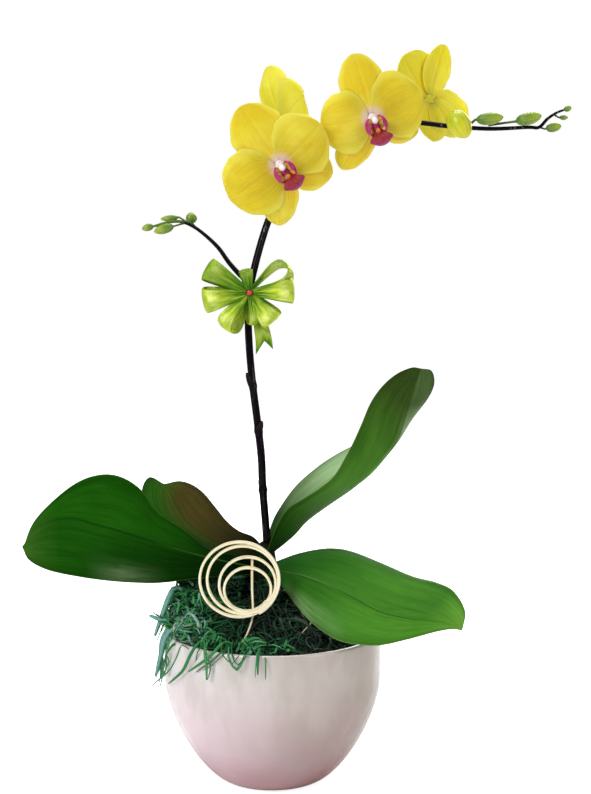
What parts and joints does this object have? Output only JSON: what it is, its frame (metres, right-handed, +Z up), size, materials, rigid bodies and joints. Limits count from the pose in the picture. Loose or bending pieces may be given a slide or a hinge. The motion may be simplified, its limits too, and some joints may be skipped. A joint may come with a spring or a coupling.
{
  "type": "potted orchid",
  "caption": "Potted moth orchid in a round bowl: strap leaves, one arching flower spike with open blooms and buds, a ribbon bow, shredded moss and a coil of cane.",
  "frame": {"origin": "centre of the bowl's flat foot, on the surface it stands on", "axes": "+Z up along the bowl's axis, -Y towards the viewer of the picture, +X to that viewer's right, where the flower spike arches"},
  "size_m": [0.3894, 0.1705, 0.5389],
  "materials": {
    "pot": "gloss",
    "potting_mix": "matte",
    "moss": "matte",
    "crown": "satin",
    "leaf": "satin",
    "spike": "satin",
    "bud": "satin",
    "tepals": "satin",
    "column": "satin",
    "lip": "satin",
    "ribbon": "satin",
    "bead": "gloss",
    "cane": "satin"
  },
  "bodies": {
    "root": {"pot": "pot", "potting_mix": "potting_mix", "shredded_moss": "moss", "crown": "crown", "leaf_left": "leaf", "leaf_left_rear": "leaf", "leaf_right_upright": "leaf", "leaf_right_low": "leaf", "flower_spike": "spike", "bud_right_1": "bud", "bud_right_2": "bud", "bud_right_3": "bud", "bud_right_4": "bud", "bud_right_5": "bud", "bud_right_6": "bud", "bud_left_1": "bud", "bud_left_2": "bud", "bud_left_3": "bud", "bud_left_4": "bud", "bloom_front_left_tepals": "tepals", "bloom_front_left_column": "column", "bloom_front_left_lip": "lip", "bloom_front_right_tepals": "tepals", "bloom_front_right_column": "column", "bloom_front_right_lip": "lip", "bloom_rear_left_tepals": "tepals", "bloom_rear_left_column": "column", "bloom_rear_left_lip": "lip", "bloom_rear_right_tepals": "tepals", "bloom_rear_right_column": "column", "bloom_rear_right_lip": "lip", "ribbon_bow": "ribbon", "bow_bead": "bead", "cane_coil": "cane"}
  },
  "joints": []
}
